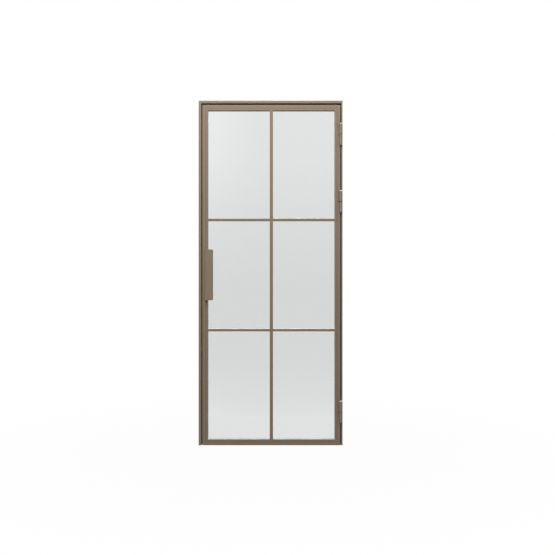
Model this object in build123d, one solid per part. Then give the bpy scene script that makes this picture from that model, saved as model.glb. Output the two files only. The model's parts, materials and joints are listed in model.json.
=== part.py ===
from build123d import *
import os
from math import acos, atan2, cos, hypot, sin

# A glazed steel door leaf, hung in its own three-sided steel frame.
# +Z is up, +X points to the hinge side, and the leaf opens towards -Y.
# The origin is on the floor, midway between the outer faces of the jambs, in the leaf's middle plane.
# All lengths are in millimetres.

# Frame
FRAME_WIDTH = 900.0
FRAME_HEIGHT = 2155.0
FRAME_FACE = 17.0            # face of the hollow lock jamb and head
HINGE_JAMB_FACE = 8.0        # the hinge jamb is a solid flat bar
FRAME_WALL = 2.0
FRAME_BEND_RADIUS = 2.0
STOP_PROJECTION = 18.0       # how far the rebate stop stands out from the jamb's face
STOP_DEPTH = 19.0            # how deep the rebate stop is, front to back

# Gaps round the leaf
LOCK_GAP = 6.0
HINGE_GAP = 5.5
HEAD_GAP = 9.0
FLOOR_GAP = 1.0
SEAL_GAP = 3.5               # from the leaf's back to the rebate stop
LEAF_SET_BACK = 2.0          # how far the leaf's front lies behind the frame's front

# Leaf members: a tube with a glazing lip along its inner edge
LEAF_THICKNESS = 35.0
TUBE_FACE = 20.0
LIP_FACE = 15.0
LIP_DEPTH = 12.0
LEAF_WALL = 2.0
EDGE_RADIUS = 1.5

# Glazing bars: a hollow flange in line with the lips, and a web between the panes
MULLION_FACE = 20.0
MULLION_WEB = 5.0
TRANSOM_FACE = 15.0
TRANSOM_WEB = 3.0
COLUMNS = ("left", "right")
ROWS = ("bottom", "middle", "top")

# Glazing
GLASS_THICKNESS = 8.0
GLASS_EDGE_GAP = 2.0
TAPE_THICKNESS = 2.0
TAPE_SET_BACK = 0.5          # how far the tape lies back from the lip's edge
BEAD_CHAMFER = 1.0
BLOCK_LENGTH = 60.0
BLOCK_PLACE_SHARES = (0.2, 0.8)

# Rebate seals and catch magnet
SEAL_WIDTH = 8.0
SEAL_CLEARANCE = 0.3
MAGNET_LENGTH = 60.0

# Hinges
HINGE_LENGTH = 140.0
TOP_HINGE_DROP = 186.0       # from the leaf's top edge to the hinge's middle
MIDDLE_HINGE_DROP = 606.0
BOTTOM_HINGE_RISE = 209.0    # from the leaf's bottom edge to the hinge's middle
KNUCKLE_RADIUS = 10.0
KNUCKLE_CHAMFER = 4.0
KNUCKLE_CLEARANCE = 0.5      # between the knuckles and the frame's front
WING_REACH = 17.0            # from the hinge axis to the tip of the leaf half's wing
WING_TIP = 2.5
PIN_RADIUS = 6.0
PIN_LENGTH = 90.0
PIN_CHAMFER = 1.0
PIN_RUNNING_FIT = 0.05
PIN_END_ROOM = 1.5
WASHER_RADIUS = 9.0
WASHER_THICKNESS = 3.5
WASHER_BORE_CLEARANCE = 0.3

# Pulls, bent from plate
PULL_LENGTH = 317.0
PULL_RISE = 906.0            # from the leaf's bottom edge to the pull's lower end
PULL_PLATE = 5.0
PULL_GRIP = 48.0
PULL_STAND = 22.0            # from the stile's face to the grip's outer face
PULL_BEND_RADIUS = 6.0
PULL_CORNER_RADIUS = 4.0
PULL_EDGE_RADIUS = 1.5
FRONT_PULL_INSET = 18.0      # from the leaf's lock edge to the front pull's web
REAR_PULL_INSET = 14.0

# Wall anchors through the rebate stops
ANCHOR_RADIUS = 4.0
ANCHOR_END = 200.0           # from the floor, and from the frame's top, to the nearest anchor
ANCHOR_SPACING = 560.0

OVERRUN = 5.0                # how far a cut runs past the solid
QUARTER_TURN = 90.0

# Places that follow from the sizes above
FRAME_LEFT = -FRAME_WIDTH / 2
FRAME_RIGHT = FRAME_WIDTH / 2
LEAF_LEFT = FRAME_LEFT + FRAME_FACE + LOCK_GAP
LEAF_RIGHT = FRAME_RIGHT - HINGE_JAMB_FACE - HINGE_GAP
LEAF_BOTTOM = FLOOR_GAP
LEAF_TOP = FRAME_HEIGHT - FRAME_FACE - HEAD_GAP
LEAF_WIDTH = LEAF_RIGHT - LEAF_LEFT
LEAF_HEIGHT = LEAF_TOP - LEAF_BOTTOM
LEAF_MIDDLE_X = (LEAF_LEFT + LEAF_RIGHT) / 2
LEAF_MIDDLE_Z = (LEAF_BOTTOM + LEAF_TOP) / 2
LEAF_FRONT = -LEAF_THICKNESS / 2
LEAF_BACK = LEAF_THICKNESS / 2
MEMBER_FACE = TUBE_FACE + LIP_FACE
LIP_BACK = LEAF_FRONT + LIP_DEPTH
GLASS_FRONT = LIP_BACK + TAPE_THICKNESS
GLASS_BACK = GLASS_FRONT + GLASS_THICKNESS
BEAD_FRONT = GLASS_BACK + TAPE_THICKNESS

FRAME_FRONT = LEAF_FRONT - LEAF_SET_BACK
STOP_FRONT = LEAF_BACK + SEAL_GAP
FRAME_BACK = STOP_FRONT + STOP_DEPTH
STOP_EDGE = FRAME_FACE + STOP_PROJECTION
HINGE_STOP_EDGE = HINGE_JAMB_FACE + STOP_PROJECTION
STOP_TOP = FRAME_HEIGHT - STOP_EDGE
SEAL_HEIGHT = SEAL_GAP - SEAL_CLEARANCE

HINGE_X = FRAME_RIGHT - HINGE_JAMB_FACE - HINGE_GAP / 2
HINGE_Y = FRAME_FRONT - KNUCKLE_CLEARANCE - KNUCKLE_RADIUS
HINGE_HEIGHTS = (
    LEAF_BOTTOM + BOTTOM_HINGE_RISE,
    LEAF_TOP - MIDDLE_HINGE_DROP,
    LEAF_TOP - TOP_HINGE_DROP,
)
PULL_BOTTOM = LEAF_BOTTOM + PULL_RISE
ANCHOR_Y = STOP_FRONT + STOP_DEPTH / 2
ANCHOR_HEIGHTS = (
    ANCHOR_END,
    ANCHOR_END + ANCHOR_SPACING,
    FRAME_HEIGHT - ANCHOR_END - ANCHOR_SPACING,
    FRAME_HEIGHT - ANCHOR_END,
)

# Daylight openings between the lips and bars, and the deeper pockets between the tubes and webs
DAYLIGHT_WIDTH = (LEAF_WIDTH - 2 * MEMBER_FACE - MULLION_FACE) / 2
DAYLIGHT_HEIGHT = (LEAF_HEIGHT - 2 * MEMBER_FACE - 2 * TRANSOM_FACE) / 3
MULLION_LIP = (MULLION_FACE - MULLION_WEB) / 2
TRANSOM_LIP = (TRANSOM_FACE - TRANSOM_WEB) / 2


def block(x0, x1, y0, y1, z0, z1):
    """A box between two corners."""
    corner = Box(x1 - x0, y1 - y0, z1 - z0, align=(Align.MIN, Align.MIN, Align.MIN))
    return Pos(x0, y0, z0) * corner


def rectangle(x0, x1, y0, y1, radius=0, rounded=None):
    """A flat rectangle, with the corners that pass the test rounded."""
    corner = Rectangle(x1 - x0, y1 - y0, align=(Align.MIN, Align.MIN))
    face = Pos(x0, y0) * corner
    if rounded:
        face = fillet(face.vertices().filter_by(rounded), radius)
    return face


def outline(*points):
    """A flat face inside a closed line through the points."""
    return make_face(Polyline(*points, close=True))


def length_of(section, start, end):
    """A straight length of a section, from one height to another."""
    return Pos(0, 0, start) * extrude(section, amount=end - start)


def keeper(*points):
    """A prism that keeps the part of a length inside an outline of (across, along) points."""
    plan = Plane.XZ * outline(*points)
    return extrude(plan, amount=FRAME_BACK - FRAME_FRONT + OVERRUN, both=True)


def turned(solid, quarter_turns, x, z):
    """Turns a length about the depth axis, so that its outer edge faces another side, and places it."""
    return Pos(x, 0, z) * Rot(0, quarter_turns * QUARTER_TURN, 0) * solid


def anchor_holes(x0, x1):
    """Cutters for the wall anchors, from one x to the other."""
    reach = x1 - x0 + 2 * OVERRUN
    drill = Rot(0, QUARTER_TURN, 0) * Cylinder(ANCHOR_RADIUS, reach)
    return [Pos((x0 + x1) / 2, ANCHOR_Y, height) * drill for height in ANCHOR_HEIGHTS]


def frame_section():
    """The rebated hollow profile of the lock jamb and head, with its outer edge at x = 0.

    All its bends are rounded but the one in the rebate.
    """
    shell = outline(
        (0, FRAME_FRONT),
        (FRAME_FACE, FRAME_FRONT),
        (FRAME_FACE, STOP_FRONT),
        (STOP_EDGE, STOP_FRONT),
        (STOP_EDGE, FRAME_BACK),
        (0, FRAME_BACK),
    )
    cavity = outline(
        (FRAME_WALL, FRAME_FRONT + FRAME_WALL),
        (FRAME_FACE - FRAME_WALL, FRAME_FRONT + FRAME_WALL),
        (FRAME_FACE - FRAME_WALL, STOP_FRONT + FRAME_WALL),
        (STOP_EDGE - FRAME_WALL, STOP_FRONT + FRAME_WALL),
        (STOP_EDGE - FRAME_WALL, FRAME_BACK - FRAME_WALL),
        (FRAME_WALL, FRAME_BACK - FRAME_WALL),
    )
    rebate_corner = (FRAME_FACE, STOP_FRONT)
    bends = shell.vertices().sort_by_distance(rebate_corner)[1:]
    return fillet(bends, FRAME_BEND_RADIUS) - cavity


def lock_jamb():
    """Stands on the floor, with its top end mitred to the head."""
    half = FRAME_HEIGHT / 2
    reach = STOP_EDGE + OVERRUN
    jamb = length_of(frame_section(), -half, half)
    jamb = jamb & keeper((0, -half), (reach, -half), (reach, half - reach), (0, half))
    return turned(jamb, 0, FRAME_LEFT, half) - anchor_holes(FRAME_LEFT, FRAME_LEFT + STOP_EDGE)


def head():
    """Mitred to the lock jamb, and butted against the hinge jamb's flat bar."""
    half = (FRAME_WIDTH - HINGE_JAMB_FACE) / 2
    reach = STOP_EDGE + OVERRUN
    bar = length_of(frame_section(), -half, half)
    bar = bar & keeper((0, -half), (reach, reach - half), (reach, half), (0, half))
    return turned(bar, 1, FRAME_LEFT + half, FRAME_HEIGHT)


def hinge_jamb():
    """A flat bar the full height, with a hollow stop that ends under the head's stop."""
    half = FRAME_HEIGHT / 2
    flat = rectangle(
        0, HINGE_JAMB_FACE, FRAME_FRONT, FRAME_BACK, EDGE_RADIUS, lambda v: v.Y < 0
    )
    stop = rectangle(
        HINGE_JAMB_FACE, HINGE_STOP_EDGE, STOP_FRONT, FRAME_BACK, FRAME_BEND_RADIUS,
        lambda v: v.X > HINGE_JAMB_FACE,
    )
    stop -= rectangle(
        HINGE_JAMB_FACE + FRAME_WALL, HINGE_STOP_EDGE - FRAME_WALL,
        STOP_FRONT + FRAME_WALL, FRAME_BACK - FRAME_WALL,
    )
    jamb = length_of(flat, -half, half) + length_of(stop, half - STOP_TOP, half)
    jamb = turned(jamb, 2, FRAME_RIGHT, half)
    return jamb - anchor_holes(FRAME_RIGHT - HINGE_STOP_EDGE, FRAME_RIGHT)


def seal_length(start, end):
    """A bulb seal on the stop's front, centred on x = 0, from one height to another."""
    left = (-SEAL_WIDTH / 2, STOP_FRONT)
    right = (SEAL_WIDTH / 2, STOP_FRONT)
    bulb = ThreePointArc(left, (0, STOP_FRONT - SEAL_HEIGHT), right)
    return length_of(make_face(Curve() + [bulb, Line(right, left)]), start, end)


def seals_and_magnet():
    """Seals along the middle of each strip that the stops overlap, and the magnet in the lock-side one."""
    lock_x = LEAF_LEFT + (STOP_PROJECTION - LOCK_GAP) / 2
    hinge_x = LEAF_RIGHT - (STOP_PROJECTION - HINGE_GAP) / 2
    head_z = LEAF_TOP - (STOP_PROJECTION - HEAD_GAP) / 2
    side_top = head_z - SEAL_WIDTH / 2
    magnet_bottom = PULL_BOTTOM + (PULL_LENGTH - MAGNET_LENGTH) / 2
    magnet_top = magnet_bottom + MAGNET_LENGTH
    half_head = (hinge_x - lock_x + SEAL_WIDTH) / 2
    lock_seals = [seal_length(0, magnet_bottom), seal_length(magnet_top, side_top)]
    magnet_x = (lock_x - SEAL_WIDTH / 2, lock_x + SEAL_WIDTH / 2)
    return {
        "seal_lock": Compound([Pos(lock_x, 0, 0) * seal for seal in lock_seals]),
        "seal_hinge": Pos(hinge_x, 0, 0) * seal_length(0, side_top),
        "seal_head": turned(seal_length(-half_head, half_head), 1, (lock_x + hinge_x) / 2, head_z),
        "catch_magnet": block(*magnet_x, STOP_FRONT - SEAL_HEIGHT, STOP_FRONT, magnet_bottom, magnet_top),
    }


def leaf_section():
    """A tube and a glazing lip side by side, with a fine groove between their rounded front edges.

    The tube's edge beside the beads stays square.
    """
    tube = rectangle(
        0, TUBE_FACE, LEAF_FRONT, LEAF_BACK, EDGE_RADIUS, lambda v: v.X < TUBE_FACE or v.Y < LEAF_BACK
    )
    lip = rectangle(TUBE_FACE, MEMBER_FACE, LEAF_FRONT, LIP_BACK, EDGE_RADIUS, lambda v: v.Y < LIP_BACK)
    tube_hollow = rectangle(
        LEAF_WALL, TUBE_FACE - LEAF_WALL, LEAF_FRONT + LEAF_WALL, LEAF_BACK - LEAF_WALL
    )
    lip_hollow = rectangle(
        TUBE_FACE + LEAF_WALL, MEMBER_FACE - LEAF_WALL, LEAF_FRONT + LEAF_WALL, LIP_BACK - LEAF_WALL
    )
    return tube + lip - tube_hollow - lip_hollow


def leaf_member(length):
    """A length of the leaf's profile, mitred at both ends, with its outer edge at x = 0."""
    half = length / 2
    reach = MEMBER_FACE + OVERRUN
    member = length_of(leaf_section(), -half, half)
    return member & keeper((0, -half), (reach, reach - half), (reach, half - reach), (0, half))


def leaf_members():
    """The four sides of the leaf, the same profile turned four ways."""
    return {
        "leaf_lock_stile": turned(leaf_member(LEAF_HEIGHT), 0, LEAF_LEFT, LEAF_MIDDLE_Z),
        "leaf_top_rail": turned(leaf_member(LEAF_WIDTH), 1, LEAF_MIDDLE_X, LEAF_TOP),
        "leaf_hinge_stile": turned(leaf_member(LEAF_HEIGHT), 2, LEAF_RIGHT, LEAF_MIDDLE_Z),
        "leaf_bottom_rail": turned(leaf_member(LEAF_WIDTH), 3, LEAF_MIDDLE_X, LEAF_BOTTOM),
    }


def glazing_bar(face, web, flange_span, web_span):
    """A T bar centred on x = 0: its web runs on behind the lips where its flange stops."""
    flange = rectangle(-face / 2, face / 2, LEAF_FRONT, LIP_BACK, EDGE_RADIUS, lambda v: v.Y < LIP_BACK)
    flange -= rectangle(
        LEAF_WALL - face / 2, face / 2 - LEAF_WALL, LEAF_FRONT + LEAF_WALL, LIP_BACK - LEAF_WALL
    )
    stem = rectangle(-web / 2, web / 2, LIP_BACK, LEAF_BACK)
    return length_of(flange, *flange_span) + length_of(stem, *web_span)


def column_span(column):
    """The daylight opening's left and right edges, and how far its pocket runs on past them."""
    if column == "left":
        left = LEAF_LEFT + MEMBER_FACE
        return left, left + DAYLIGHT_WIDTH, LIP_FACE, MULLION_LIP
    right = LEAF_RIGHT - MEMBER_FACE
    return right - DAYLIGHT_WIDTH, right, MULLION_LIP, LIP_FACE


def row_span(row):
    """The daylight opening's bottom and top edges, and how far its pocket runs on past them."""
    index = ROWS.index(row)
    bottom = LEAF_BOTTOM + MEMBER_FACE + index * (DAYLIGHT_HEIGHT + TRANSOM_FACE)
    below = LIP_FACE if row == ROWS[0] else TRANSOM_LIP
    above = LIP_FACE if row == ROWS[-1] else TRANSOM_LIP
    return bottom, bottom + DAYLIGHT_HEIGHT, below, above


def bars():
    """The mullion from rail to rail, and a transom in each column above the bottom and middle panes."""
    low, high = LEAF_BOTTOM + MEMBER_FACE, LEAF_TOP - MEMBER_FACE
    mullion = glazing_bar(MULLION_FACE, MULLION_WEB, (low, high), (low - LIP_FACE, high + LIP_FACE))
    made = {"mullion": Pos(LEAF_MIDDLE_X, 0, 0) * mullion}
    for row, place in (("bottom", "lower"), ("middle", "upper")):
        height = row_span(row)[1] + TRANSOM_FACE / 2
        for column in COLUMNS:
            left, right, before, after = column_span(column)
            bar = glazing_bar(TRANSOM_FACE, TRANSOM_WEB, (left, right), (left - before, right + after))
            made[f"transom_{place}_{column}"] = turned(bar, 1, 0, height)
    return made


def ring(x0, x1, z0, z1, inner_x0, inner_x1, inner_z0, inner_z1, front):
    """A flat strip of tape round an opening."""
    back = front + TAPE_THICKNESS
    strip = block(x0, x1, front, back, z0, z1)
    return strip - block(inner_x0, inner_x1, front - OVERRUN, back + OVERRUN, inner_z0, inner_z1)


def bead(width, length):
    """A glazing bead along z, standing out from x = 0, with its visible edge broken."""
    section = rectangle(0, width, BEAD_FRONT, LEAF_BACK)
    visible = section.vertices().filter_by(lambda v: v.X > 0 and v.Y > BEAD_FRONT)
    return length_of(chamfer(visible, BEAD_CHAMFER), -length / 2, length / 2)


def pane(column, row):
    """The glass, tape, beads and setting blocks of one pane."""
    left, right, before, after = column_span(column)
    bottom, top, below, above = row_span(row)
    pocket_left, pocket_right = left - before, right + after
    pocket_bottom, pocket_top = bottom - below, top + above
    glass_x = (pocket_left + GLASS_EDGE_GAP, pocket_right - GLASS_EDGE_GAP)
    glass_z = (pocket_bottom + GLASS_EDGE_GAP, pocket_top - GLASS_EDGE_GAP)
    glass = block(*glass_x, GLASS_FRONT, GLASS_BACK, *glass_z)

    opening = (
        left - TAPE_SET_BACK, right + TAPE_SET_BACK, bottom - TAPE_SET_BACK, top + TAPE_SET_BACK
    )
    tapes = [ring(*glass_x, *glass_z, *opening, front) for front in (LIP_BACK, GLASS_BACK)]

    middle_x = (pocket_left + pocket_right) / 2
    middle_z = (bottom + top) / 2
    beads = [
        turned(bead(before, top - bottom), 0, pocket_left, middle_z),
        turned(bead(above, pocket_right - pocket_left), 1, middle_x, pocket_top),
        turned(bead(after, top - bottom), 2, pocket_right, middle_z),
        turned(bead(below, pocket_right - pocket_left), 3, middle_x, pocket_bottom),
    ]

    glass_width = glass_x[1] - glass_x[0]
    centres = [glass_x[0] + share * glass_width for share in BLOCK_PLACE_SHARES]
    half = BLOCK_LENGTH / 2
    blocks = [
        block(x - half, x + half, GLASS_FRONT, GLASS_BACK, pocket_bottom, glass_z[0]) for x in centres
    ]
    return glass, tapes, beads, blocks


def glazing():
    """All six panes. The setting blocks share one node."""
    made = {}
    all_blocks = []
    for row in ROWS:
        for column in COLUMNS:
            glass, tapes, beads, blocks = pane(column, row)
            made[f"glass_{row}_{column}"] = glass
            made[f"glazing_tape_{row}_{column}"] = Compound(tapes)
            made[f"glazing_beads_{row}_{column}"] = Compound(beads)
            all_blocks += blocks
    made["setting_blocks"] = Compound(all_blocks)
    return made


def wing_tangent(tip_x, tip_y):
    """Where the line from the wing's tip touches the front of the knuckle, seen along the hinge axis."""
    turn = atan2(tip_y, tip_x) + acos(KNUCKLE_RADIUS / hypot(tip_x, tip_y))
    return KNUCKLE_RADIUS * cos(turn), KNUCKLE_RADIUS * sin(turn)


def knuckle(bottom, top, chamfered):
    """A turned barrel on the hinge axis, with one end chamfered."""
    barrel = Cylinder(KNUCKLE_RADIUS, top - bottom, align=(Align.CENTER, Align.CENTER, Align.MIN))
    ends = barrel.edges().filter_by(GeomType.CIRCLE).sort_by(Axis.Z)
    return Pos(0, 0, bottom) * chamfer(ends[-1] if chamfered == "top" else ends[0], KNUCKLE_CHAMFER)


def hinge_pieces():
    """The pieces of a lift-off hinge about the origin.

    The leaf half turns on the pin that is pressed into the frame half, and rests on a washer between them.
    """
    end = HINGE_LENGTH / 2
    seat = WASHER_THICKNESS / 2
    wing_end = end - KNUCKLE_CHAMFER
    leaf_face = LEAF_FRONT - HINGE_Y
    frame_face = FRAME_FRONT - HINGE_Y
    tip = (-WING_REACH, leaf_face - WING_TIP)
    wing = outline(
        (-WING_REACH, leaf_face), tip, wing_tangent(*tip), (0, 0), (-HINGE_GAP / 2, leaf_face)
    )
    heel = outline(
        (0, 0), (KNUCKLE_RADIUS, 0), (KNUCKLE_RADIUS, frame_face), (HINGE_GAP / 2, frame_face)
    )
    bore_up = Cylinder(PIN_RADIUS + PIN_RUNNING_FIT, PIN_LENGTH + 2 * PIN_END_ROOM)
    bore_down = Cylinder(PIN_RADIUS, PIN_LENGTH)
    leaf_half = knuckle(seat, end, "top") + length_of(wing, seat, wing_end) - bore_up
    frame_half = knuckle(-end, -seat, "bottom") + length_of(heel, -wing_end, -seat) - bore_down
    pin = Cylinder(PIN_RADIUS, PIN_LENGTH)
    pin = chamfer(pin.edges().filter_by(GeomType.CIRCLE).sort_by(Axis.Z)[-1], PIN_CHAMFER)
    washer = Cylinder(WASHER_RADIUS, WASHER_THICKNESS)
    washer -= Cylinder(PIN_RADIUS + WASHER_BORE_CLEARANCE, WASHER_THICKNESS + OVERRUN)
    return {
        "hinge_leaf_knuckles": leaf_half,
        "hinge_frame_knuckles": frame_half,
        "hinge_pins": pin,
        "hinge_washers": washer,
    }


def hinges():
    """Like pieces of all the hinges share a node."""
    places = [Pos(HINGE_X, HINGE_Y, height) for height in HINGE_HEIGHTS]
    return {
        name: Compound([place * piece for place in places]) for name, piece in hinge_pieces().items()
    }


def pull():
    """A plate bent to a right angle: the web stands on y = 0, and the grip faces -Y."""
    inner = PULL_PLATE - PULL_STAND
    angle = outline(
        (0, 0),
        (0, -PULL_STAND),
        (PULL_GRIP, -PULL_STAND),
        (PULL_GRIP, inner),
        (PULL_PLATE, inner),
        (PULL_PLATE, 0),
    )
    bends = angle.vertices()
    angle = fillet(bends.filter_by(lambda v: v.X == 0 and v.Y < 0), PULL_BEND_RADIUS)
    inside = angle.vertices().sort_by_distance((PULL_PLATE, inner))[0]
    angle = fillet(inside, PULL_BEND_RADIUS - PULL_PLATE)
    free_edge = angle.vertices().filter_by(lambda v: v.X > PULL_GRIP - PULL_PLATE)
    angle = fillet(free_edge, PULL_EDGE_RADIUS)
    plate = length_of(angle, 0, PULL_LENGTH)
    rounding = keeper((-PULL_GRIP, 0), (PULL_GRIP, 0), (PULL_GRIP, PULL_LENGTH), (-PULL_GRIP, PULL_LENGTH))
    corners = rounding.edges().filter_by(Axis.Y).group_by(Axis.X)[-1]
    return plate & fillet(corners, PULL_CORNER_RADIUS)


def pulls():
    """The front pull stands across the groove. The rear one stands on the tube, off the beads."""
    front = Pos(LEAF_LEFT + FRONT_PULL_INSET, LEAF_FRONT, PULL_BOTTOM) * pull()
    rear = Pos(LEAF_LEFT + REAR_PULL_INSET, LEAF_BACK, PULL_BOTTOM) * mirror(pull(), about=Plane.XZ)
    return {"pull_front": front, "pull_rear": rear}


def door():
    """Every node of the part, by name."""
    nodes = {"frame_lock_jamb": lock_jamb(), "frame_head": head(), "frame_hinge_jamb": hinge_jamb()}
    nodes.update(seals_and_magnet())
    nodes.update(leaf_members())
    nodes.update(bars())
    nodes.update(glazing())
    nodes.update(hinges())
    nodes.update(pulls())
    return nodes


os.makedirs("parts", exist_ok=True)
for node, solid in door().items():
    export_step(solid, f"parts/{node}.step")
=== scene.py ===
import json
import math

import bmesh
import bpy
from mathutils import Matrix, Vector


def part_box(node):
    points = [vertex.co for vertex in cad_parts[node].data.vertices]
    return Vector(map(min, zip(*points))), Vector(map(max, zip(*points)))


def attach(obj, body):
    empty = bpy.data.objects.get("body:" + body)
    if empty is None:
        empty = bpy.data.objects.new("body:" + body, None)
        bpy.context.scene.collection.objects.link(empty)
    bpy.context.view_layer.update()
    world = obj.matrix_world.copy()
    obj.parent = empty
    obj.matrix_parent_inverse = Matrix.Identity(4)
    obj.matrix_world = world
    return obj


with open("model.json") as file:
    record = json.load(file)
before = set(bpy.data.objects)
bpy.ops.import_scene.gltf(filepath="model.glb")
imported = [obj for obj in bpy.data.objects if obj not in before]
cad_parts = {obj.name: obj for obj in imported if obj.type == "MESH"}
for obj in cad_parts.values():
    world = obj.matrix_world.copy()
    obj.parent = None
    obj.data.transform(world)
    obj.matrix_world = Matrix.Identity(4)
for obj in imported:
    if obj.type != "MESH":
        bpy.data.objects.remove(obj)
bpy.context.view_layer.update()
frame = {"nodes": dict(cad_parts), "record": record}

# Camera, in metres: about level with the door's middle, a little to the hinge side
CAMERA_LENS_MM = 50.0
CAMERA_SENSOR_MM = 36.0
CAMERA_DISTANCE = 4.82          # from the frame's front
CAMERA_X = 0.0432
CAMERA_Z = 1.049

# Floor, in metres: where its shadow starts to fade and is gone, and how white it looks at both
FLOOR_SIDE = 40.0
FLOOR_SHADOW_REACH = (0.5, 2.5)
FLOOR_WHITE_SHARES = (0.975, 1.0)
CONTACT_SHADE_REACH = 0.01            # how far the painted contact shade goes out from what stands on the floor

# Light from all round, and softboxes: name, place, target, width and height in metres, watts, and whether
# mirror images and glass show them
FILL_STRENGTH = 0.37
SOFTBOXES = (
    ("front_softbox", (-0.3, -3.2, 3.0), (0.0, 0.0, 1.2), (1.4, 2.0), 82.5, False),
    ("top_softbox", (-0.1, -1.6, 4.2), (0.0, 0.0, 1.2), (1.6, 0.8), 42.0, True),
    ("rear_softbox", (0.3, 2.8, 3.5), (0.0, 0.0, 1.2), (1.6, 1.0), 100.0, True),
    ("lock_side_softbox", (-3.2, 1.3, 1.8), (0.0, 0.0, 1.1), (1.0, 2.0), 30.0, False),
    ("hinge_side_softbox", (3.2, 1.3, 1.8), (0.0, 0.0, 1.1), (1.0, 2.0), 30.0, False),
)

# The card that the glass mirrors, in metres: its foot and top as (y, z), half its width, its brightness as
# (height, share of white), and a glow at its left as (x, times as bright)
CARD_FOOT = (-1.0, 0.0)
CARD_TOP = (-6.0, 3.5)
CARD_HALF_WIDTH = 6.0
CARD_LEVELS = (
    (0.0, 0.88), (0.12, 0.45), (0.32, 0.08), (0.5, 0.0), (0.97, 0.0),
    (1.3, 0.22), (1.75, 0.45), (2.05, 0.68), (2.5, 0.92), (3.2, 1.0),
)
CARD_LEFT_GLOW = ((-0.8, 1.65), (-0.25, 1.0))

# White silicone at the foot of each pane, a bright line that is a painted highlight along the ledge there, in
# metres
SILICONE_FRONT = (0.0025, 0.0085)   # up the glass and out from it, in front
SILICONE_REAR = (0.001, 0.004)      # the same behind
SILICONE_IN = 0.0004                # down into the joint
SILICONE_HOLLOW_SHARE = 0.3         # 0.5 makes its face flat, and less makes it hollow
SILICONE_STEPS = 4                  # spans across its face
SILICONE_STATIONS = 48              # spans along it
SILICONE_SWELLS = ((3.0, 0.05), (7.0, 0.04), (16.0, 0.03))  # waves in its length, share of its size
SILICONE_SHARP_DEG = 35.0
HAIR = 0.00005                      # how far its faces stay off the glass and steel

# The two faces of a pane: name, the corner of a box that lies there, the way out along Y, the silicone's size
PANE_FACES = (("front", 0, -1, SILICONE_FRONT), ("rear", 1, 1, SILICONE_REAR))

# Bead screws, in metres: a domed head as (radius, height) rings, the last ones in a lobed recess
SCREW_RINGS = (
    (0.0032, -0.0001), (0.0032, 0.0002), (0.0028, 0.0006),
    (0.002, 0.0009), (0.0014, 0.001), (0.0013, 0.0004),
)
SCREW_RECESS_RINGS = 2
SCREW_SIDES = 24
SCREW_LOBES = 6
SCREW_LOBE_SHARE = 0.12
SCREW_FROM_END = 0.06
SCREW_SPACING = 0.3             # at most
SCREW_SHARP_DEG = 40.0

# Pale hinge caps, whose colour stands in for the highlight on the knuckles' tops (a painted highlight), in
# metres:
# rings as (radius, height over the knuckle's top)
CAP_RINGS = (
    (0.0092, -0.0042), (0.0099, -0.0037), (0.0062, 0.0001),
    (0.0058, 0.0004), (0.004, 0.0009), (0.002, 0.0011),
)
CAP_SIDES = 48
CAP_SHARP_DEG = 30.0
HINGE_NAMES = ("bottom", "middle", "top")
HINGE_APART = 0.2               # two hinges have more than this between them

# Colours as the eye sees them, from 0 to 255
COAT_COLOUR = (133, 117, 99)
GLASS_COLOUR = (223, 225, 225)
FLOOR_COLOUR = (112, 112, 110)
RUBBER_COLOUR = (38, 37, 36)
TAPE_COLOUR = (46, 44, 42)
BLOCK_COLOUR = (52, 52, 54)
NICKEL_COLOUR = (176, 174, 170)
STEEL_COLOUR = (168, 167, 165)
# The caps' pale colour is a painted highlight on the hinges' tops
CAP_HIGHLIGHT_COLOUR = (222, 211, 196)
# The washers' black is their own polymer and also stands in for the shade in the hinge seam: painted shade
WASHER_AND_SEAM_SHADE_COLOUR = (34, 34, 34)
# The silicone's white is a painted highlight along the panes' feet
SILICONE_HIGHLIGHT_COLOUR = (245, 245, 241)
WHITE = (1.0, 1.0, 1.0, 1.0)    # as linear light, with alpha

# Materials have noise scales in waves to a metre, depths in metres, and tones as times the colour
# Noise: how many finer layers it has, and the span that most of its values lie in
FEW_LAYERS = 1.0
SOME_LAYERS = 2.0
MANY_LAYERS = 3.0
NOISE_SPAN = (0.3, 0.7)

# Powder coat
COAT_TONES = (0.95, 1.05)
COAT_TONE_SCALE = 5.0
COAT_GRAIN_SCALE = 2600.0
COAT_PEEL_SCALE = 420.0
COAT_PEEL_DEPTH = 0.00012
COAT_TEXTURE_SCALE = 1900.0
COAT_TEXTURE_DEPTH = 0.00004
COAT_ROUGHNESS = (0.38, 0.5)
COAT_ROUGHNESS_SCALE = 60.0
COAT_SPECULAR = 0.35
OCCLUSION_SAMPLES = 8

# Painted shade, with some dirt, in the coat's seams and corners: its reach, how open a spot is where it is
# full and where it ends, its tone
SEAM_SHADE_REACH = 0.007
SEAM_SHADE_OPENNESS = (0.5, 1.0)
SEAM_SHADE_TONE = 0.05

# Lighter coat on its sharp edges, a painted highlight that also stands for wear: its reach, how open the
# metal behind a spot is where it is full and where it ends, its most, and its tone
EDGE_HIGHLIGHT_REACH = 0.002
EDGE_HIGHLIGHT_OPENNESS = (0.4, 0.95)
EDGE_WEAR_AND_HIGHLIGHT_SHARE = 0.8
EDGE_HIGHLIGHT_TONE = 1.5

# Glass
GLASS_WAVE_SCALE = 3.0
GLASS_WAVE_DEPTH = 0.0002
GLASS_WAVE_STRENGTH = 0.05
GLASS_IOR = 1.52
GLASS_COAT_IOR = 1.6

# Rubber, foam and moulded polymer
RUBBER_TONES = (0.85, 1.2)
RUBBER_BLOOM_SCALE = 30.0
RUBBER_GRAIN_DEPTH = 0.0001
RUBBER_ROUGHNESS = (0.6, 0.8)
TAPE_GRAIN_SCALE = 900.0
SEAL_GRAIN_SCALE = 500.0
BLOCK_GRAIN_SCALE = 300.0
POLYMER_GRAIN_SCALE = 700.0

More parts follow.
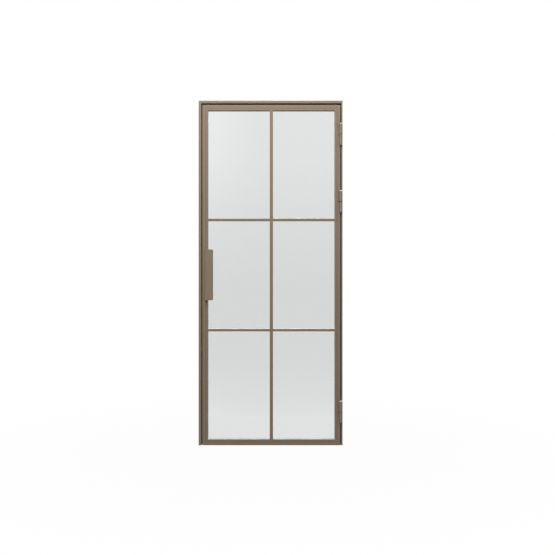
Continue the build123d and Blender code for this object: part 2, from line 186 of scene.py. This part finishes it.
# Bare metal: the way its tool marks run is the one that their noise is drawn out along
METAL_TONES = (0.9, 1.08)
METAL_MARK_SCALE = 900.0
METAL_MARK_DEPTH = 0.00003
METAL_ROUGHNESS_SPREAD = (-0.06, 0.08)
MARKS_ALONG_Z = (1.0, 1.0, 0.03)
MARKS_ROUND_Z = (0.03, 0.03, 1.0)
NICKEL_ROUGHNESS = 0.25
STEEL_ROUGHNESS = 0.28

# Silicone's finish: its glow is light that goes into it, as deep for red as for green and blue
SILICONE_TONES = (0.94, 1.0)
SILICONE_CLOUD_SCALE = 40.0
SILICONE_WAVE_SCALE = 160.0
SILICONE_WAVE_DEPTH = 0.0001
SILICONE_ROUGHNESS = (0.5, 0.62)
SILICONE_IOR = 1.41
SILICONE_GLOW_WEIGHT = 0.3
SILICONE_GLOW_DEPTH = 0.004
SILICONE_GLOW_SHARES = (1.0, 1.0, 1.0)

# Sockets of a node that mixes colours
MIX_FACTOR = 0
MIX_FIRST = 6
MIX_SECOND = 7
MIX_RESULT = 2


def linear(colour):
    """A colour of 0 to 255 as linear light, by the sRGB rule."""
    shares = [part / 255 for part in colour]
    return [s / 12.92 if s <= 0.04045 else ((s + 0.055) / 1.055) ** 2.4 for s in shares]


def rgba(colour, tone=1.0):
    """A linear colour with alpha, made lighter or darker by a tone."""
    return [part * tone for part in linear(colour)] + [1.0]


class Graph:
    """The nodes of a material or of the world, made and joined by short calls."""

    def __init__(self, owner):
        owner.use_nodes = True
        self.owner = owner
        self.tree = owner.node_tree

    def set(self, node, socket, value):
        """Joins an input to another node's output, or gives it a value of its own."""
        if isinstance(value, bpy.types.NodeSocket):
            self.tree.links.new(value, node.inputs[socket])
        else:
            node.inputs[socket].default_value = value

    def fill(self, node, inputs):
        """Sets inputs by name, where _ stands for a space."""
        for key, value in inputs.items():
            self.set(node, key.replace("_", " "), value)

    def add(self, kind, settings=None, **inputs):
        """Makes a node with its settings and inputs."""
        node = self.tree.nodes.new(kind)
        for key, value in (settings or {}).items():
            setattr(node, key, value)
        self.fill(node, inputs)
        return node

    def places(self):
        """Places in metres, in the shared frame."""
        return self.add("ShaderNodeTexCoord").outputs["Object"]

    def noise(self, scale, layers, vector=None):
        """Noise over the places, or over others that are given."""
        node = self.add("ShaderNodeTexNoise", Scale=scale, Detail=layers)
        self.set(node, "Vector", vector or self.places())
        return node.outputs["Fac"]

    def fade(self, value, ends, results=(0.0, 1.0)):
        """A value between two ends as one between two results."""
        node = self.add("ShaderNodeMapRange", Value=value, From_Min=ends[0], From_Max=ends[1])
        self.fill(node, {"To_Min": results[0], "To_Max": results[1]})
        return node.outputs["Result"]

    def spread(self, noise, results=(0.0, 1.0)):
        """Noise drawn out between two results."""
        return self.fade(noise, NOISE_SPAN, results)

    def openness(self, reach, inside=False):
        """How clear of its own piece's faces the space before a spot is, or inside, the metal behind it."""
        settings = {"samples": OCCLUSION_SAMPLES, "inside": inside, "only_local": True}
        return self.add("ShaderNodeAmbientOcclusion", settings, Distance=reach).outputs["AO"]

    def blend(self, factor, first, second):
        """A colour between two."""
        node = self.add("ShaderNodeMix", {"data_type": "RGBA"})
        self.set(node, MIX_FACTOR, factor)
        self.set(node, MIX_FIRST, first)
        self.set(node, MIX_SECOND, second)
        return node.outputs[MIX_RESULT]

    def tones(self, factor, colour, tones):
        """A colour between two of its tones."""
        dark, light = tones
        return self.blend(factor, rgba(colour, dark), rgba(colour, light))

    def combine(self, operation, first, second):
        """Two values put together by an operation."""
        node = self.add("ShaderNodeMath", {"operation": operation})
        self.set(node, 0, first)
        self.set(node, 1, second)
        return node.outputs[0]

    def bump(self, height, depth, strength=1.0, normal=None):
        """Raised and sunken relief, on top of another where one is given."""
        node = self.add("ShaderNodeBump", Height=height, Distance=depth, Strength=strength)
        if normal:
            self.set(node, "Normal", normal)
        return node.outputs["Normal"]

    def finish(self, **inputs):
        """Gives the material's main shader its inputs."""
        self.fill(self.tree.nodes["Principled BSDF"], inputs)
        return self.owner


def surface(name):
    """A new material's nodes."""
    return Graph(bpy.data.materials.new(name))


def powder_coat():
    """Satin powder coat: orange peel, faint grain, slow changes of tone, painted shade and dirt in its seams,
    and a painted highlight and wear on its edges.
    """
    g = surface("powder_coat")
    tone = g.tones(g.spread(g.noise(COAT_TONE_SCALE, MANY_LAYERS)), COAT_COLOUR, COAT_TONES)
    grain = g.spread(g.noise(COAT_GRAIN_SCALE, FEW_LAYERS))
    clean = g.blend(grain, tone, rgba(COAT_COLOUR))
    # Sharp edges made lighter in the coat's own hue: painted highlight, also standing for wear
    worn_and_highlit = g.fade(g.openness(EDGE_HIGHLIGHT_REACH, inside=True), EDGE_HIGHLIGHT_OPENNESS, (EDGE_WEAR_AND_HIGHLIGHT_SHARE, 0.0))
    rubbed_and_highlit = g.blend(worn_and_highlit, clean, rgba(COAT_COLOUR, EDGE_HIGHLIGHT_TONE))
    # Seams and corners darkened by how enclosed they are: painted shade, with some dirt
    out_of_seam_shade = g.fade(g.openness(SEAM_SHADE_REACH), SEAM_SHADE_OPENNESS)
    colour = g.blend(out_of_seam_shade, rgba(COAT_COLOUR, SEAM_SHADE_TONE), rubbed_and_highlit)
    peel = g.bump(g.noise(COAT_PEEL_SCALE, SOME_LAYERS), COAT_PEEL_DEPTH)
    texture = g.bump(g.noise(COAT_TEXTURE_SCALE, FEW_LAYERS), COAT_TEXTURE_DEPTH, normal=peel)
    rough = g.spread(g.noise(COAT_ROUGHNESS_SCALE, MANY_LAYERS), COAT_ROUGHNESS)
    return g.finish(Base_Color=colour, Roughness=rough, Normal=texture, Specular_IOR_Level=COAT_SPECULAR)


def clear_glass():
    """Polished float glass with a faint grey tint, a hard coat and a slight wave."""
    g = surface("clear_glass")
    wave = g.bump(g.noise(GLASS_WAVE_SCALE, FEW_LAYERS), GLASS_WAVE_DEPTH, GLASS_WAVE_STRENGTH)
    return g.finish(
        Base_Color=rgba(GLASS_COLOUR), Roughness=0.0, IOR=GLASS_IOR, Transmission_Weight=1.0, Normal=wave,
        Coat_Weight=1.0, Coat_Roughness=0.0, Coat_IOR=GLASS_COAT_IOR,
    )


def dull_rubber(name, colour, grain_scale):
    """Rubber, foam or moulded polymer: matt, with a fine grain and a faint bloom."""
    g = surface(name)
    bloom = g.spread(g.noise(RUBBER_BLOOM_SCALE, MANY_LAYERS))
    colours = g.tones(bloom, colour, RUBBER_TONES)
    grain = g.bump(g.noise(grain_scale, SOME_LAYERS), RUBBER_GRAIN_DEPTH)
    return g.finish(Base_Color=colours, Roughness=g.spread(bloom, RUBBER_ROUGHNESS), Normal=grain)


def worked_metal(name, colour, marks_way, roughness):
    """Bare metal with fine tool marks that run one way."""
    g = surface(name)
    drawn_out = g.add("ShaderNodeMapping", Vector=g.places(), Scale=marks_way).outputs["Vector"]
    marks = g.noise(METAL_MARK_SCALE, MANY_LAYERS, drawn_out)
    colours = g.tones(g.spread(marks), colour, METAL_TONES)
    rough = g.spread(marks, [roughness + change for change in METAL_ROUGHNESS_SPREAD])
    relief = g.bump(marks, METAL_MARK_DEPTH)
    return g.finish(Base_Color=colours, Metallic=1.0, Roughness=rough, Normal=relief)


def highlight_silicone():
    """Smoothed silicone: milky white, a painted highlight along the panes' feet, with a soft sheen and faint
    finger waves along its face.
    """
    g = surface("highlight_silicone")
    cloud = g.spread(g.noise(SILICONE_CLOUD_SCALE, MANY_LAYERS))
    colours = g.tones(cloud, SILICONE_HIGHLIGHT_COLOUR, SILICONE_TONES)
    waves = g.bump(g.noise(SILICONE_WAVE_SCALE, SOME_LAYERS), SILICONE_WAVE_DEPTH)
    return g.finish(
        Base_Color=colours, Roughness=g.spread(cloud, SILICONE_ROUGHNESS), Normal=waves, IOR=SILICONE_IOR,
        Subsurface_Weight=SILICONE_GLOW_WEIGHT, Subsurface_Radius=SILICONE_GLOW_SHARES,
        Subsurface_Scale=SILICONE_GLOW_DEPTH,
    )


MATERIALS = {
    "coated_steel": powder_coat(),
    "glass": clear_glass(),
    "glazing_tape": dull_rubber("foam_tape", TAPE_COLOUR, TAPE_GRAIN_SCALE),
    "seal_rubber": dull_rubber("seal_rubber", RUBBER_COLOUR, SEAL_GRAIN_SCALE),
    "setting_block": dull_rubber("setting_block", BLOCK_COLOUR, BLOCK_GRAIN_SCALE),
    "magnet": worked_metal("nickel_plate", NICKEL_COLOUR, MARKS_ALONG_Z, NICKEL_ROUGHNESS),
    "pin_steel": worked_metal("ground_steel", STEEL_COLOUR, MARKS_ROUND_Z, STEEL_ROUGHNESS),
    "washer_polymer": dull_rubber("washer_polymer", WASHER_AND_SEAM_SHADE_COLOUR, POLYMER_GRAIN_SCALE),
}


def dress_nodes():
    """Gives each node the material of its slot."""
    for part in frame["record"]["subparts"]:
        obj = frame["nodes"][part["node"]]
        obj.data.materials.clear()
        obj.data.materials.append(MATERIALS[part["material_slot"]])


def daylight():
    """The clear opening of each pane as (x0, x1, z0, z1), from the edges of the steel round it."""
    columns = {
        "left": (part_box("leaf_lock_stile")[1].x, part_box("mullion")[0].x),
        "right": (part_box("mullion")[1].x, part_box("leaf_hinge_stile")[0].x),
    }
    rows = {
        "bottom": (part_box("leaf_bottom_rail")[1].z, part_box("transom_lower_left")[0].z),
        "middle": (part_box("transom_lower_left")[1].z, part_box("transom_upper_left")[0].z),
        "top": (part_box("transom_upper_left")[1].z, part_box("leaf_top_rail")[0].z),
    }
    return {f"{row}_{column}": (*xs, *zs) for row, zs in rows.items() for column, xs in columns.items()}


def add_to_leaf(name, bm, material, sharp_angle):
    """Makes a piece from a mesh, smooth up to an angle, that moves with the leaf."""
    bmesh.ops.recalc_face_normals(bm, faces=bm.faces[:])
    mesh = bpy.data.meshes.new(name)
    bm.to_mesh(mesh)
    bm.free()
    mesh.shade_smooth()
    mesh.set_sharp_from_angle(angle=math.radians(sharp_angle))
    mesh.materials.append(material)
    piece = bpy.data.objects.new(name, mesh)
    bpy.context.collection.objects.link(piece)
    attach(piece, "leaf")
    return piece


def skin(bm, rings):
    """Faces from ring to ring, and one over each end."""
    for ring, following in zip(rings, rings[1:]):
        for i in range(len(ring)):
            bm.faces.new((ring[i - 1], ring[i], following[i], following[i - 1]))
    bm.faces.new(rings[0])
    bm.faces.new(rings[-1])


def around(sides):
    """Angles evenly spaced round a circle."""
    return [2 * math.pi * side / sides for side in range(sides)]


def silicone_section(tape, up, out):
    """The section as (up from the steel's edge, off the glass): fills the joint, then a hollow face."""
    start, end = (HAIR, out), (up, HAIR)
    section = [(-SILICONE_IN, HAIR), (-SILICONE_IN, tape - HAIR), (HAIR, tape - HAIR)]
    for step in range(SILICONE_STEPS + 1):
        t = step / SILICONE_STEPS
        pull = 2 * t * (1 - t) * SILICONE_HOLLOW_SHARE
        weights = (1 - t) ** 2 + pull, t ** 2 + pull
        section.append(tuple(weights[0] * a + weights[1] * b for a, b in zip(start, end)))
    return section


def silicone_swell(share):
    """How full the hand-drawn line is at a share of its length."""
    return 1 + sum(swell * math.sin(2 * math.pi * turns * share) for turns, swell in SILICONE_SWELLS)


def build_highlight_silicone(material):
    """A line of white silicone along the foot of each pane, on both faces, that is a painted highlight there.
    """
    for pane, (x0, x1, z0, _) in daylight().items():
        glass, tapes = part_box(f"glass_{pane}"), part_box(f"glazing_tape_{pane}")
        for side, face, outwards, size in PANE_FACES:
            tape = abs(tapes[face].y - glass[face].y)
            bm = bmesh.new()
            rings = []
            for station in range(SILICONE_STATIONS + 1):
                share = station / SILICONE_STATIONS
                x = x0 + HAIR + share * (x1 - x0 - 2 * HAIR)
                swell = silicone_swell(share)
                section = silicone_section(tape, *(length * swell for length in size))
                spots = [(x, glass[face].y + outwards * off, z0 + up) for up, off in section]
                rings.append([bm.verts.new(spot) for spot in spots])
            skin(bm, rings)
            add_to_leaf(f"silicone_{side}_{pane}", bm, material, SILICONE_SHARP_DEG)


def add_screw_head(bm, place, inwards):
    """A domed head with a lobed recess, standing on a face."""
    turn = Vector((0, 0, 1)).rotation_difference(inwards).to_matrix()
    rings = []
    for index, (radius, height) in enumerate(SCREW_RINGS):
        in_recess = index >= len(SCREW_RINGS) - SCREW_RECESS_RINGS
        ring = []
        for angle in around(SCREW_SIDES):
            wave = SCREW_LOBE_SHARE * math.cos(SCREW_LOBES * angle) if in_recess else 0
            reach = radius * (1 + wave)
            spot = Vector((reach * math.cos(angle), reach * math.sin(angle), height))
            ring.append(bm.verts.new(place + turn @ spot))
        rings.append(ring)
    skin(bm, rings)


def spaced(low, high):
    """Evenly spaced places from near one end of a bead to near the other."""
    first, last = low + SCREW_FROM_END, high - SCREW_FROM_END
    gaps = math.ceil((last - first) / SCREW_SPACING)
    return [first + (last - first) * index / gaps for index in range(gaps + 1)]


def build_bead_screws(material):
    """Screws through the glazing beads, on the faces that look into each opening."""
    for pane, (x0, x1, z0, z1) in daylight().items():
        low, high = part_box(f"glazing_beads_{pane}")
        y = (low.y + high.y) / 2
        bm = bmesh.new()
        for z in spaced(z0, z1):
            add_screw_head(bm, Vector((x0, y, z)), Vector((1, 0, 0)))
            add_screw_head(bm, Vector((x1, y, z)), Vector((-1, 0, 0)))
        for x in spaced(x0, x1):
            add_screw_head(bm, Vector((x, y, z0)), Vector((0, 0, 1)))
            add_screw_head(bm, Vector((x, y, z1)), Vector((0, 0, -1)))
        screws = add_to_leaf(f"bead_screws_{pane}", bm, material, SCREW_SHARP_DEG)


def knuckle_tops():
    """The height of each leaf knuckle's top, from the lowest hinge up."""
    heights = sorted(vertex.co.z for vertex in frame["nodes"]["hinge_leaf_knuckles"].data.vertices)
    return [low for low, high in zip(heights, heights[1:] + [math.inf]) if high - low > HINGE_APART]


def build_highlight_caps(material):
    """A pale moulded cap over the top of each hinge, whose pale colour is a painted highlight there."""
    low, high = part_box("hinge_pins")
    axis = (low + high) / 2
    for hinge, top in zip(HINGE_NAMES, knuckle_tops()):
        bm = bmesh.new()
        rings = []
        for radius, height in CAP_RINGS:
            ring = []
            for angle in around(CAP_SIDES):
                x = axis.x + radius * math.cos(angle)
                y = axis.y + radius * math.sin(angle)
                ring.append(bm.verts.new((x, y, top + height)))
            rings.append(ring)
        skin(bm, rings)
        add_to_leaf(f"hinge_cap_{hinge}", bm, material, CAP_SHARP_DEG)


def white_to_the_eye(g, lit, white, *shares):
    """Mixes a lit shader with a white one where the camera looks, straight, by gloss or through glass."""
    path = g.add("ShaderNodeLightPath")
    seen = path.outputs["Is Camera Ray"]
    for ray in ("Is Glossy Ray", "Is Transmission Ray"):
        seen = g.combine("MAXIMUM", seen, path.outputs[ray])
    for share in shares:
        seen = g.combine("MULTIPLY", seen, share)
    mix = g.add("ShaderNodeMixShader")
    for socket, value in enumerate((seen, lit.outputs[0], white.outputs[0])):
        g.set(mix, socket, value)
    return mix.outputs[0]


def build_floor():
    """A plain floor, white to the eye, that keeps a faint shadow near the door, and a painted contact shade
    where things stand on it.
    """
    bpy.ops.mesh.primitive_plane_add(size=FLOOR_SIDE)
    floor = bpy.context.object
    floor.name = "studio_floor"
    g = surface("studio_floor")
    g.tree.nodes.clear()
    lit = g.add("ShaderNodeBsdfDiffuse", Color=rgba(FLOOR_COLOUR))
    white = g.add("ShaderNodeEmission")
    away = g.add("ShaderNodeVectorMath", {"operation": "LENGTH"})
    g.set(away, 0, g.places())
    share = g.fade(away.outputs["Value"], FLOOR_SHADOW_REACH, FLOOR_WHITE_SHARES)
    # Close to what stands on the floor it shows its lit grey instead of white: painted contact shade
    contact_shade = g.add("ShaderNodeAmbientOcclusion", Distance=CONTACT_SHADE_REACH).outputs["AO"]
    g.add("ShaderNodeOutputMaterial", Surface=white_to_the_eye(g, lit, white, share, contact_shade))
    floor.data.materials.append(g.owner)


def build_world():
    """Soft light from all round, and a white background where it is seen."""
    world = bpy.data.worlds.new("studio")
    bpy.context.scene.world = world
    g = Graph(world)
    soft = g.tree.nodes["Background"]
    g.fill(soft, {"Color": WHITE, "Strength": FILL_STRENGTH})
    white = g.add("ShaderNodeBackground", Color=WHITE)
    g.set(g.tree.nodes["World Output"], "Surface", white_to_the_eye(g, soft, white))


def build_lights():
    """Softboxes in front of the door, above it, behind it and at its sides."""
    for name, place, target, size, watts, mirrored in SOFTBOXES:
        light = bpy.data.lights.new(name, "AREA")
        light.shape = "RECTANGLE"
        light.size, light.size_y = size
        light.energy = watts
        lamp = bpy.data.objects.new(name, light)
        bpy.context.collection.objects.link(lamp)
        lamp.location = place
        aim = Vector(target) - lamp.location
        lamp.rotation_euler = aim.to_track_quat("-Z", "Y").to_euler()
        lamp.visible_glossy = lamp.visible_transmission = mirrored


def card_material():
    """A glow graded by height, and a little by width."""
    g = surface("mirror_card")
    g.tree.nodes.clear()
    place = g.add("ShaderNodeSeparateXYZ", Vector=g.places())
    ramp = g.add("ShaderNodeValToRGB", Fac=g.fade(place.outputs["Z"], (0.0, CARD_TOP[1])))
    stops = ramp.color_ramp.elements
    ready_stops = len(stops)
    for index, (height, white) in enumerate(CARD_LEVELS):
        stop = stops[index] if index < ready_stops else stops.new(1.0)
        stop.position = height / CARD_TOP[1]
        stop.color = (white, white, white, 1.0)
    ends, times_as_bright = zip(*CARD_LEFT_GLOW)
    strength = g.fade(place.outputs["X"], ends, times_as_bright)
    glow = g.add("ShaderNodeEmission", Color=ramp.outputs["Color"], Strength=strength)
    g.add("ShaderNodeOutputMaterial", Surface=glow.outputs[0])
    return g.owner


def build_card():
    """A leaning card that only mirror images show."""
    mesh = bpy.data.meshes.new("mirror_card")
    foot = [(side * CARD_HALF_WIDTH, *CARD_FOOT) for side in (-1, 1)]
    top = [(side * CARD_HALF_WIDTH, *CARD_TOP) for side in (1, -1)]
    mesh.from_pydata(foot + top, [], [(0, 1, 2, 3)])
    mesh.materials.append(card_material())
    card = bpy.data.objects.new("mirror_card", mesh)
    bpy.context.collection.objects.link(card)
    card.visible_camera = card.visible_diffuse = card.visible_transmission = card.visible_shadow = False


def build_camera():
    """The photograph's view: level, and straight at the door's front."""
    data = bpy.data.cameras.new("camera")
    data.lens = CAMERA_LENS_MM
    data.sensor_width = CAMERA_SENSOR_MM
    camera = bpy.data.objects.new("camera", data)
    bpy.context.collection.objects.link(camera)
    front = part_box("frame_head")[0].y
    camera.location = (CAMERA_X, front - CAMERA_DISTANCE, CAMERA_Z)
    camera.rotation_euler = (math.pi / 2, 0, 0)
    bpy.context.scene.camera = camera


dress_nodes()
build_highlight_silicone(highlight_silicone())
build_bead_screws(MATERIALS["pin_steel"])
build_highlight_caps(dull_rubber("highlight_cap_polymer", CAP_HIGHLIGHT_COLOUR, POLYMER_GRAIN_SCALE))
build_floor()
build_world()
build_lights()
build_card()
build_camera()
bpy.context.scene.view_settings.view_transform = "Standard"
